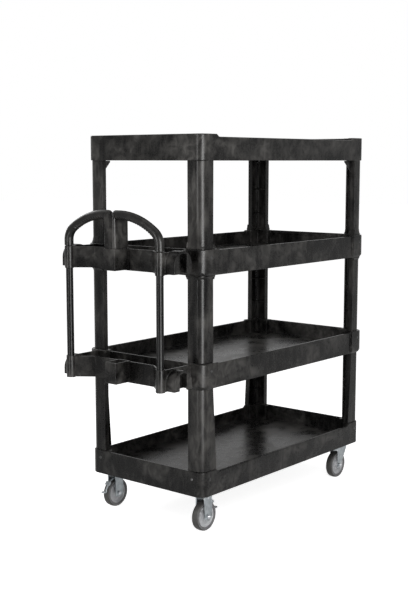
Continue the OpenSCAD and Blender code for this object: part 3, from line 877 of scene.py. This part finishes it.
@dataclass
class PushHandle:
    """The pillar, the two arched grips and the two uprights.

    Attributes:
        shop: the workshop.
        grip_r: radius of the grips.
        arc_r: radius of the long arc's centre line.
        bend_r: radius of the tight bend's centre line.
        flat_y: where the long arc meets the level end.
        end_y: centre of the domed end.
        ridge_pitch: spacing of the finger ridges.
        ridge_depth: depth of the hollows between them.
        ridge_from: how far out from the middle the ridges start.
        ridge_to: how far out they end.
        ridge_fade: over what length they fade in and out.
        under_from: how far under the grip the hollows start, from -1 to 1.
        under_blend: over how much of that they reach their full depth.
        facets: facets round a grip.
        dome_rings: rings of the domed end.
        dome_tip: share of the radius that the last ring keeps.
        tube_wall: wall of the uprights.
        tube_facets: facets round an upright.
        pillar_edges: roundings of the pillar, widest first.
    """

    shop: Workshop
    grip_r: float = 19 * MM
    arc_r: float = 320 * MM
    bend_r: float = 63 * MM
    flat_y: float = 40 * MM
    end_y: float = 22 * MM
    ridge_pitch: float = 14 * MM
    ridge_depth: float = 4.2 * MM
    ridge_from: float = 34 * MM
    ridge_to: float = 215 * MM
    ridge_fade: float = 6 * MM
    under_from: float = 0.3
    under_blend: float = 0.4
    facets: int = 48
    dome_rings: int = 10
    dome_tip: float = 0.02
    tube_wall: float = 2.5 * MM
    tube_facets: int = 64
    pillar_edges: tuple[float, float] = (4 * MM, 1.4 * MM)

    def build(self) -> None:
        """Builds both grips and dresses the pillar and uprights."""
        for side in Side:
            self.grip(side)
            self.upright(side)
        self.shop.soften("handle_pillar", *self.pillar_edges)

    def grip(self, side: Side) -> None:
        """Sweeps one grip from its boss to its domed end.

        Args:
            side: which grip.
        """
        node = f"handle_grip_{side.word}"
        low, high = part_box(node)
        x = (low.x + high.x) / 2
        outer_y = max(abs(low.y), abs(high.y)) - self.grip_r
        top_z = high.z - self.grip_r
        arc_z = top_z - self.arc_r
        span = self.arc_r - self.bend_r
        lean = math.asin((outer_y - self.flat_y - self.bend_r) / span)
        bend_y = self.flat_y + span * math.sin(lean)
        bend = Vector((x, bend_y, arc_z + span * math.cos(lean)))
        foot_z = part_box("upper_tray")[1].z
        bm = bmesh.new()
        start = Matrix.Translation((x, outer_y, foot_z))
        ring = bmesh.ops.create_circle(
            bm, cap_ends=True, radius=self.grip_r, segments=self.facets, matrix=start
        )["verts"]
        loop = [e for e in bm.edges if e.verts[0] in ring and e.verts[1] in ring]
        loop = self._run(bm, loop, Vector((0, 0, bend.z - foot_z)), steps=6)
        loop = self._bend(bm, loop, bend, math.pi / 2 - lean, steps=30)
        long_arc = Vector((x, self.flat_y, arc_z))
        loop = self._bend(bm, loop, long_arc, lean, steps=220)
        loop = self._run(bm, loop, Vector((0, self.end_y - self.flat_y, 0)), steps=18)
        self._dome(bm, loop, Vector((x, self.end_y, top_z)))
        self._ridges(bm, x, arc_z)
        if side is Side.RIGHT:
            bmesh.ops.scale(bm, vec=(1, -1, 1), verts=bm.verts)
        bmesh.ops.recalc_face_normals(bm, faces=bm.faces)
        self.shop.finish(f"{node}_ridged", bm, node, crease=60)

    @staticmethod
    def _rim(bm: BMesh, made: list[Any]) -> tuple[list[BMVert], list[BMEdge]]:
        """The vertices among newly made parts of a mesh, and the open rim they form."""
        verts = [part for part in made if isinstance(part, BMVert)]
        chosen = set(verts)
        return verts, [e for e in bm.edges if e.is_boundary and set(e.verts) <= chosen]

    def _run(self, bm: BMesh, loop: list[BMEdge], way: Vector, steps: int) -> list[BMEdge]:
        """Extends a rim in a straight line.

        Args:
            bm: the mesh.
            loop: the rim's edges.
            way: how far it goes.
            steps: how many rings.

        Returns:
            The new rim.
        """
        for _ in range(steps):
            made = bmesh.ops.extrude_edge_only(bm, edges=loop)["geom"]
            verts, loop = self._rim(bm, made)
            bmesh.ops.translate(bm, vec=way / steps, verts=verts)
        return loop

    def _bend(
        self, bm: BMesh, loop: list[BMEdge], centre: Vector, angle: float, steps: int
    ) -> list[BMEdge]:
        """Sweeps a rim round an arc about the X axis.

        Args:
            bm: the mesh.
            loop: the rim's edges.
            centre: the arc's centre.
            angle: how far it turns, in radians.
            steps: how many rings.

        Returns:
            The new rim.
        """
        verts = list({v for e in loop for v in e.verts})
        last = bmesh.ops.spin(
            bm,
            geom=verts + loop,
            cent=centre,
            axis=Vector((1, 0, 0)),
            angle=angle,
            steps=steps,
            use_merge=False,
            use_duplicate=False,
        )["geom_last"]
        return self._rim(bm, last)[1]

    def _dome(self, bm: BMesh, loop: list[BMEdge], centre: Vector) -> None:
        """Closes a rim with a half ball.

        Args:
            bm: the mesh.
            loop: the rim's edges.
            centre: the ball's centre, on the rim's plane.
        """
        shrink = 1.0
        reach = 0.0
        space = Matrix.Translation(-centre)
        for i in range(1, self.dome_rings + 1):
            angle = math.pi / 2 * i / self.dome_rings
            made = bmesh.ops.extrude_edge_only(bm, edges=loop)["geom"]
            verts, loop = self._rim(bm, made)
            size = max(math.cos(angle), self.dome_tip)
            factor = size / shrink
            bmesh.ops.scale(bm, vec=(factor, 1, factor), space=space, verts=verts)
            move = self.grip_r * math.sin(angle)
            bmesh.ops.translate(bm, vec=Vector((0, reach - move, 0)), verts=verts)
            shrink, reach = size, move
        bmesh.ops.edgeloop_fill(bm, edges=loop)

    def _ridges(self, bm: BMesh, x: float, arc_z: float) -> None:
        """Presses finger hollows into the underside of the grip.

        Args:
            bm: the grip, on the +Y side.
            x: the grip's plane.
            arc_z: height of the long arc's centre.
        """
        hub = Vector((x, self.flat_y, arc_z))
        for vert in bm.verts:
            y = vert.co.y
            if not self.ridge_from < y < self.ridge_to:
                continue
            out = Vector((0, y - hub.y, vert.co.z - hub.z))
            run = math.atan2(out.y, out.z) * self.arc_r
            if run < 0:
                continue
            on_line = hub + out.normalized() * self.arc_r
            spoke = vert.co - on_line
            if spoke.length < SLIVER:
                continue
            under = -spoke.normalized().dot(out.normalized())
            share = min(1.0, max(0.0, (under - self.under_from) / self.under_blend))
            wave = 0.5 - 0.5 * math.cos(math.tau * run / self.ridge_pitch)
            ends = min(1.0, min(y - self.ridge_from, self.ridge_to - y) / self.ridge_fade)
            vert.co -= spoke.normalized() * self.ridge_depth * share * wave * ends

    def upright(self, side: Side) -> None:
        """Draws one upright tube between its two bosses.

        Args:
            side: which upright.
        """
        node = f"handle_upright_{side.word}"
        low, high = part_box(node)
        centre = (low + high) / 2
        half = (high.z - low.z) / 2
        outer = (high.x - low.x) / 2
        inner = outer - self.tube_wall
        bm = bmesh.new()
        outline = [(outer, -half), (outer, half), (inner, half), (inner, -half)]
        lathe(bm, outline, centre, Vector((0, 0, 1)), self.tube_facets)
        self.shop.finish(f"{node}_tube", bm, node)


@dataclass
class PostScrews:
    """Pan-head screws in the corners of the three lower trays.

    Attributes:
        shop: the workshop.
        along_x: distance of the long-side screws from the tray's end.
        along_y: distance of the end screws from the tray's side.
        proud: how far the middle trays' blocks stand out.
        head_r: radius of a head.
        head_t: thickness of a head.
        recess_r: radius of the drive recess.
        lobes: lobes of the recess.
        lobe_depth: how far the lobes stand out, as a share of its radius.
        facets: facets round a head.
    """

    shop: Workshop
    along_x: float = 47 * MM
    along_y: float = 57 * MM
    proud: float = 8 * MM
    head_r: float = 6.4 * MM
    head_t: float = 2.5 * MM
    recess_r: float = 2.4 * MM
    lobes: int = 6
    lobe_depth: float = 0.16
    facets: int = 24

    def build(self) -> None:
        """Builds one row of screws on each of these trays."""
        for tray in ("upper_tray", "lower_tray", "bottom_tray"):
            node = f"screws_{tray}"
            low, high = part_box(node)
            bm = bmesh.new()
            for place in self._places((low.z + high.z) / 2, tray != "bottom_tray"):
                self._head(bm, place)
            self.shop.finish(f"{node}_heads", bm, node)

    def _places(self, z: float, middle: bool) -> Iterable[Matrix]:
        """Where the heads of one row sit.

        Args:
            z: the row's height.
            middle: whether it is a middle tray, whose blocks stand proud and whose
                handle end is covered by the caddy.

        Yields:
            A transform for each head, with +Z out of the face.
        """
        low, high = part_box("top_tray")
        proud = self.proud if middle else 0.0
        for end, x in ((-1, low.x), (1, high.x)):
            for side, y in ((-1, low.y), (1, high.y)):
                on_side = Vector((x - end * self.along_x, y + side * proud, z))
                on_end = Vector((x + end * proud, y - side * self.along_y, z))
                spots = [(on_side, Vector((0, side, 0)))]
                if end > 0 or not middle:
                    spots.append((on_end, Vector((end, 0, 0))))
                for spot, out in spots:
                    turn = out.to_track_quat("Z", "Y").to_matrix().to_4x4()
                    yield Matrix.Translation(spot) @ turn

    def _head(self, bm: BMesh, place: Matrix) -> None:
        """Adds one head with a lobed recess.

        Args:
            bm: the mesh that gets it.
            place: where it goes.
        """
        ring = bmesh.ops.create_circle(
            bm, cap_ends=True, radius=self.head_r, segments=self.facets
        )["verts"]
        face = ring[0].link_faces[0]
        if face.normal.z < 0:
            face.normal_flip()
        every = list(ring)
        recess = self.recess_r / self.head_r
        steps = (
            (0.4, 1.0, 0.0),
            (0.75, 0.94, 0.0),
            (0.95, 0.7, 0.0),
            (1.0, recess, self.lobe_depth),
            (0.35, recess * 0.92, self.lobe_depth),
        )
        for rise, size, lobe in steps:

            def reach(angle: float, size: float = size, lobe: float = lobe) -> float:
                """Distance of a corner from the screw's axis."""
                return self.head_r * size * (1 + lobe * math.cos(self.lobes * angle))

            face = raised(bm, face, self.head_t * rise, reach)
            every += list(face.verts)
        bmesh.ops.transform(bm, matrix=place, verts=every)


@dataclass
class Wheel:
    """One caster wheel with its tread, hub and axle hardware.

    Attributes:
        shop: the workshop.
        kind: rigid or swivel.
        side: which side of the cart.
        hub_reach: half the hub's length.
        bore: radius of the hub's bore.
        seat: radius at which the tyre sits on the hub.
        crown: how much the tread is crowned.
        shoulder: radius of the tread's shoulders.
        ring_from: radius from which the hub's rim is bright.
        ribs: how many ribs the hub has.
        rib_size: length, width and height of a rib.
        rib_edge: rounding of a rib's top.
        rib_at: where a rib's middle lies, out from the axle and up from the web's middle.
        bolt_corner: radius of the bolt's head and nut over their corners.
        head_t: thickness of the bolt's head.
        thread_from: where the thread starts, back from the bolt's end.
        thread_run: length of the thread.
        pitch: its pitch.
        facets: facets round the tyre and the hub.
    """

    shop: Workshop
    kind: str
    side: Side
    hub_reach: float = 19.5 * MM
    bore: float = 8.05 * MM
    seat: float = 47 * MM
    crown: float = 1.2 * MM
    shoulder: float = 5 * MM
    ring_from: float = 41.5 * MM
    ribs: int = 8
    rib_size: tuple[float, float, float] = (20 * MM, 3.2 * MM, 2.4 * MM)
    rib_edge: float = 0.8 * MM
    rib_at: tuple[float, float] = (28 * MM, 7.6 * MM)
    bolt_corner: float = 9 * MM
    head_t: float = 5.95 * MM
    thread_from: float = 12 * MM
    thread_run: float = 10.5 * MM
    pitch: float = 1.25 * MM
    facets: int = 96

    @property
    def tag(self) -> str:
        """The tail of this wheel's node names."""
        return f"{self.kind}_{self.side.word}"

    @property
    def centre(self) -> Vector:
        """The middle of the wheel."""
        low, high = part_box(f"tyre_{self.tag}")
        return (low + high) / 2

    def build(self) -> None:
        """Builds the tread, the hub and the hardware."""
        self.tread()
        self.hub()
        self.hardware()

    def tread(self) -> None:
        """Turns the tyre, with a crowned tread and a grooved side wall."""
        low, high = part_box(f"tyre_{self.tag}")
        outer = (high.z - low.z) / 2
        half = (high.y - low.y) / 2
        profile = (
            (0.0, 3.2),
            (1.2, 1.0),
            (3.2, 0.6),
            (3.9, 1.5),
            (4.6, 1.5),
            (5.3, 0.2),
            (8.5, 0.0),
        )
        side = [(self.seat + out * MM, half - dip * MM) for out, dip in profile]
        middle = (outer - self.crown - self.shoulder, half - self.shoulder)
        corner = arc(self.shoulder, middle, 80, 8, 6)
        top = [(outer - self.crown * 0.35, half * 0.35), (outer, 0.0)]
        right = side + corner + top
        left = [(r, -a) for r, a in reversed(right[:-1])]
        bm = bmesh.new()
        centre = self.centre
        wall_limit = outer - self.crown - self.shoulder * 0.75
        for face in lathe(bm, right + left, centre, Vector((0, 1, 0)), self.facets):
            spot = face.calc_center_median() - centre
            if math.hypot(spot.x, spot.z) < wall_limit and abs(spot.y) > half * 0.7:
                face.material_index = 1
        node = f"tyre_{self.tag}"
        self.shop.finish(f"{node}_tread", bm, node, (self.shop.paints.wall_rubber,), crease=30)

    def hub(self) -> None:
        """Turns the dished hub with a bright ring at its rim and ribs round its boss."""
        node = f"hub_{self.tag}"
        low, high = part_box(node)
        rim = (high.z - low.z) / 2
        profile = (
            (18.0, 9.6),
            (21.0, 7.6),
            (34.0, 7.0),
            (39.0, 8.6),
            (41.0, 12.0),
            (42.2, 12.6),
            (43.4, 12.2),
            (44.4, 13.0),
        )
        right = [
            (self.bore, self.hub_reach),
            (12.5 * MM, self.hub_reach),
            (13.2 * MM, self.hub_reach - 0.8 * MM),
            (15.0 * MM, self.hub_reach - 0.8 * MM),
            (16.6 * MM, self.hub_reach - 2.2 * MM),
            *((out * MM, rise * MM) for out, rise in profile),
            (rim, 13.0 * MM),
        ]
        left = [(r, -a) for r, a in reversed(right)]
        bm = bmesh.new()
        centre = self.centre
        for face in lathe(bm, right + left, centre, Vector((0, 1, 0)), self.facets):
            spot = face.calc_center_median() - centre
            if math.hypot(spot.x, spot.z) > self.ring_from:
                face.material_index = 1
        for i in range(self.ribs):
            self._rib(bm, math.tau * (i + 0.5) / self.ribs)
        self.shop.finish(f"{node}_dished", bm, node, (self.shop.paints.ring,), crease=32)

    def _rib(self, bm: BMesh, angle: float) -> None:
        """Adds one low spoke rib on both faces of the hub's web.

        Args:
            bm: the hub's mesh.
            angle: the rib's direction about the axle.
        """
        for face_side in (-1, 1):
            made = bmesh.ops.create_cube(bm, size=1)["verts"]
            bmesh.ops.scale(bm, vec=self.rib_size, verts=made)
            top = {
                edge
                for vert in made
                for edge in vert.link_edges
                if vert.co.z > 0 and edge.other_vert(vert).co.z > 0
            }
            round_edges(bm, list(top), self.rib_edge, 2)
            made = self._island(made)
            lay = Matrix.Translation((self.rib_at[0], 0, self.rib_at[1]))
            stand = Matrix.Rotation(math.radians(-90 * face_side), 4, "X")
            turn = Matrix.Rotation(angle, 4, "Y")
            place = Matrix.Translation(self.centre) @ turn @ stand @ lay
            bmesh.ops.transform(bm, matrix=place, verts=made)

    @staticmethod
    def _island(seed: list[BMVert]) -> list[BMVert]:
        """All vertices joined to some that are still alive.

        Args:
            seed: vertices, some of which may be gone.

        Returns:
            The connected vertices.
        """
        waiting = [v for v in seed if v.is_valid]
        found = set(waiting)
        while waiting:
            vert = waiting.pop()
            for link in vert.link_edges:
                other = link.other_vert(vert)
                if other not in found:
                    found.add(other)
                    waiting.append(other)
        return list(found)

    def hardware(self) -> None:
        """Builds the axle bolt, its nut and the sleeve between the fork legs."""
        node = f"axle_{self.tag}"
        low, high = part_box(node)
        head, reach = sorted((self.centre.y - low.y, high.y - self.centre.y))
        outward = -1 if self.centre.y - low.y > high.y - self.centre.y else 1
        axis = Vector((0, outward, 0))
        bm = bmesh.new()
        radius = (high.x - low.x) / 2 * 5 / 9
        tip = 0.3 * MM
        shank = [(tip, -head + 4 * MM), (radius, -head + 4 * MM)]
        for i in range(int(self.thread_run / self.pitch)):
            foot = reach - self.thread_from + i * self.pitch
            shank += [(radius, foot), (radius - 0.55 * MM, foot + self.pitch / 2)]
        shank += [(radius - 0.1 * MM, reach - 1.2 * MM), (radius - 1.1 * MM, reach), (tip, reach)]
        lathe(bm, shank, self.centre, axis, 32)
        seat = self.centre - axis * (head - 6 * MM)
        hexagon(bm, seat, -axis, self.bolt_corner, self.head_t)
        self.shop.finish(f"{node}_bolt", bm, node, crease=35)
        nut = f"nut_{self.tag}"
        low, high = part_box(nut)
        foot = Vector((self.centre.x, low.y if outward > 0 else high.y, self.centre.z))
        bm = bmesh.new()
        hexagon(bm, foot, axis, self.bolt_corner, high.y - low.y, bore=5.05 * MM)
        self.shop.finish(f"{nut}_hexagon", bm, nut, crease=35)
        self.shop.paint(f"sleeve_{self.tag}")


def hexagon(
    bm: BMesh,
    foot: Vector,
    axis: Vector,
    corner_r: float,
    height: float,
    bore: float = 0.0,
) -> None:
    """Adds a chamfered hexagon head or nut.

    Args:
        bm: the mesh that gets it.
        foot: the middle of its bearing face.
        axis: the way it stands out.
        corner_r: radius over the corners.
        height: its height.
        bore: radius of the hole, or 0 for a closed head.
    """
    made = bmesh.ops.create_circle(bm, cap_ends=True, radius=corner_r, segments=6)["verts"]
    face = made[0].link_faces[0]
    if face.normal.z < 0:
        face.normal_flip()
    every = list(made)
    steps = [(height * 0.86, corner_r), (height, corner_r * 0.87)]
    if bore:
        steps += [(height, bore), (height * 0.5, bore)]
    for rise, far in steps:
        face = raised(bm, face, rise, lambda _, far=far: far)
        every += list(face.verts)
    turn = axis.to_track_quat("Z", "Y").to_matrix().to_4x4()
    bmesh.ops.transform(bm, matrix=Matrix.Translation(foot) @ turn, verts=every)


@dataclass
class Casters:
    """The two rigid braked casters and the two swivel casters.

    Attributes:
        shop: the workshop.
        press_edge: rounding of the pressed steel edges.
        fine_edge: rounding of the edges that have less room.
        kingpin_edge: rounding of the kingpins.
        pin_edge: rounding of the brake pins.
        bolt_dx: spacing of the plate bolts along the cart.
        bolt_dy: spacing of the plate bolts across the cart.
        bolt_corner: radius of a bolt's head over its corners.
        bolt_head: thickness of the head.
        washer: inner and outer radius of a washer.
        washer_t: thickness of a washer.
    """

    shop: Workshop
    press_edge: float = 1.1 * MM
    fine_edge: float = 0.6 * MM
    kingpin_edge: float = 0.8 * MM
    pin_edge: float = 0.3 * MM
    bolt_dx: float = 72 * MM
    bolt_dy: float = 56 * MM
    bolt_corner: float = 7 * MM
    bolt_head: float = 5 * MM
    washer: tuple[float, float] = (4 * MM, 8 * MM)
    washer_t: float = 0.9 * MM

    def build(self) -> None:
        """Builds wheels, forks, brakes, swivels and plate bolts."""
        for side in Side:
            for kind in ("rigid", "swivel"):
                Wheel(self.shop, kind, side).build()
            for piece in ("rigid_fork", "swivel_fork", "swivel_plate", "brake_lever"):
                self.shop.soften(f"{piece}_{side.word}", self.press_edge, self.fine_edge)
            self.shop.soften(f"kingpin_{side.word}", self.kingpin_edge)
            self.shop.paint(f"swivel_balls_{side.word}")
        self.shop.soften("brake_pins", self.pin_edge)
        self.bolts()

    def bolts(self) -> None:
        """Builds the sixteen hexagon heads under the caster plates."""
        seat_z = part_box("caster_bolts")[0].z + self.bolt_head
        plates = [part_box(f"rigid_fork_{s.word}") for s in Side]
        plates += [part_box(f"swivel_plate_{s.word}") for s in Side]
        inner, outer = self.washer
        rim = [(inner, 0), (outer, 0), (outer, self.washer_t), (inner, self.washer_t)]
        bm = bmesh.new()
        down = Vector((0, 0, -1))
        for low, high in plates:
            middle = (low + high) / 2
            for dx in (-self.bolt_dx / 2, self.bolt_dx / 2):
                for dy in (-self.bolt_dy / 2, self.bolt_dy / 2):
                    spot = Vector((middle.x + dx, middle.y + dy, seat_z))
                    hexagon(bm, spot, down, self.bolt_corner, self.bolt_head)
                    lathe(bm, rim, spot, down, 24)
        self.shop.finish("caster_bolt_heads", bm, "caster_bolts", crease=35)


# ---------------------------------------------------------------- studio


@dataclass(frozen=True)
class Softbox:
    """One area lamp that faces a point at its own height, or hangs and shines down.

    Attributes:
        name: the lamp's name.
        beside: the point that it faces.
        azimuth: its direction from there, in degrees from +X.
        distance: how far off it stands.
        size: its width and height.
        power: its power in watts.
        gleam: whether it shows in glossy surfaces only.
        hung: whether it hangs level and shines down.
    """

    name: str
    beside: Vector
    azimuth: float
    distance: float
    size: tuple[float, float]
    power: float
    gleam: bool = False
    hung: bool = False

    def stand(self) -> None:
        """Adds the lamp to the scene."""
        lamp = bpy.data.lights.new(self.name, "AREA")
        lamp.shape = "RECTANGLE"
        lamp.size, lamp.size_y = self.size
        lamp.energy = self.power
        place = bpy.data.objects.new(self.name, lamp)
        turn = math.radians(self.azimuth)
        away = Vector((math.cos(turn), math.sin(turn), 0))
        place.location = self.beside + away * self.distance
        if not self.hung:
            place.rotation_euler = (-away).to_track_quat("-Z", "Y").to_euler()
        place.visible_camera = False
        place.visible_diffuse = not self.gleam
        bpy.context.scene.collection.objects.link(place)


@dataclass
class Studio:
    """A pale floor, soft lights and the camera.

    Attributes:
        camera_at: where the camera stands.
        forward: the way it looks.
        right: its right-hand direction.
        lens: focal length in millimetres.
        sensor: width of the sensor in millimetres.
        fill: strength of the world's light.
        floor_lift: glow that brings the open floor up to the backdrop's white.
        floor_half: half the floor's width.
    """

    camera_at: Vector = field(default_factory=lambda: Vector((-3.79045, -3.0465, 1.5363)))
    forward: Vector = field(default_factory=lambda: Vector((0.7633, 0.6322, -0.1328)))
    right: Vector = field(default_factory=lambda: Vector((0.6379, -0.7702, 0.0)))
    lens: float = 63.41
    sensor: float = 36
    fill: float = 0.13
    floor_lift: float = 0.9
    floor_half: float = 30

    def build(self) -> None:
        """Sets up the world, the lamps, the floor and the camera."""
        scene = bpy.context.scene
        scene.view_settings.view_transform = "Standard"
        self._world(scene)
        self._floor()
        self._lamps()
        self._camera(scene)

    def _world(self, scene: bpy.types.Scene) -> None:
        """Lights the world evenly, behind a white backdrop.

        Args:
            scene: the scene that gets the world.
        """
        world = bpy.data.worlds.new("studio")
        world.use_nodes = True
        sky = Nodes(world.node_tree)
        sky.tree.nodes.clear()
        white = {"Color": (1, 1, 1, 1)}
        room = sky.node("ShaderNodeBackground", {}, white | {"Strength": self.fill})
        backdrop = sky.node("ShaderNodeBackground", {}, white | {"Strength": 1.0})
        seen = sky.seen().socket
        links = {0: seen, 1: room.outputs[0], 2: backdrop.outputs[0]}
        mix = sky.node("ShaderNodeMixShader", {}, links)
        sky.node("ShaderNodeOutputWorld", {}, {"Surface": mix.outputs[0]})
        scene.world = world

    def _floor(self) -> None:
        """Lays a wide pale floor just under the wheels."""
        bm = bmesh.new()
        bmesh.ops.create_grid(bm, x_segments=1, y_segments=1, size=self.floor_half)
        mesh = bpy.data.meshes.new("studio_floor")
        bm.to_mesh(mesh)
        bm.free()
        shader = Shader("studio_floor", {"Roughness": 0.9, "Specular IOR Level": 0.1})
        cloud = shader.noise(0.6, 2)
        shader.colour((0.93, 0.93, 0.93), (0.95, 0.95, 0.95), cloud)
        glow = {"Color": (1, 1, 1, 1), "Strength": self.floor_lift}
        lift = shader.node("ShaderNodeEmission", {}, glow).outputs[0]
        plain = shader.surface.outputs[0]
        lifted = shader.node("ShaderNodeAddShader", {}, {0: plain, 1: lift}).outputs[0]
        links = {0: shader.seen(), 1: plain, 2: lifted}
        mix = shader.node("ShaderNodeMixShader", {}, links)
        end = shader.tree.nodes["Material Output"]
        shader.tree.links.new(mix.outputs[0], end.inputs["Surface"])
        mesh.materials.append(shader.material)
        floor = bpy.data.objects.new("studio_floor", mesh)
        bpy.context.scene.collection.objects.link(floor)

    def _lamps(self) -> None:
        """Stands softboxes by the near corner and behind, and hangs one overhead.

        The gleam lamps only draw the upright highlights on the round corners.
        """
        corner = Vector((-0.51, -0.32, 0))
        high = corner + Vector((0, 0, 1.75))
        low = corner + Vector((0, 0, 0.98))
        behind = Vector((0, 0, 3.0))
        above = Vector((0, 0, 4.2))
        for box in (
            Softbox("key", high, -118.5, 1.6, (0.8, 1.5), 28),
            Softbox("key_gleam", low, -118.5, 1.7, (0.75, 1.9), 120, gleam=True),
            Softbox("edge", high, 164, 2.0, (0.24, 1.4), 10),
            Softbox("edge_gleam", low, 164, 2.1, (0.2, 1.9), 40, gleam=True),
            Softbox("back", behind, 88, 3.6, (1.6, 1.4), 60),
            Softbox("top", above, -90, 0.4, (3.0, 2.0), 25, hung=True),
        ):
            box.stand()

    def _camera(self, scene: bpy.types.Scene) -> None:
        """Stands the camera at eye height by the handle end.

        Args:
            scene: the scene that looks through it.
        """
        forward = self.forward.normalized()
        right = self.right.normalized()
        up = right.cross(forward).normalized()
        right = forward.cross(up).normalized()
        data = bpy.data.cameras.new("view")
        data.lens = self.lens
        data.sensor_width = self.sensor
        camera = bpy.data.objects.new("view", data)
        turn = Matrix((right, up, -forward)).transposed().to_4x4()
        camera.matrix_world = Matrix.Translation(self.camera_at) @ turn
        scene.collection.objects.link(camera)
        scene.camera = camera


def main() -> None:
    """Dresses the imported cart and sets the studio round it."""
    logging.basicConfig(level=logging.INFO, format="%(message)s")
    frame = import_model()
    shop = Workshop(frame)
    for assembly in (Trays(shop), Posts(shop), PushHandle(shop), PostScrews(shop), Casters(shop)):
        assembly.build()
    Studio().build()


if __name__ == "__main__":
    main()
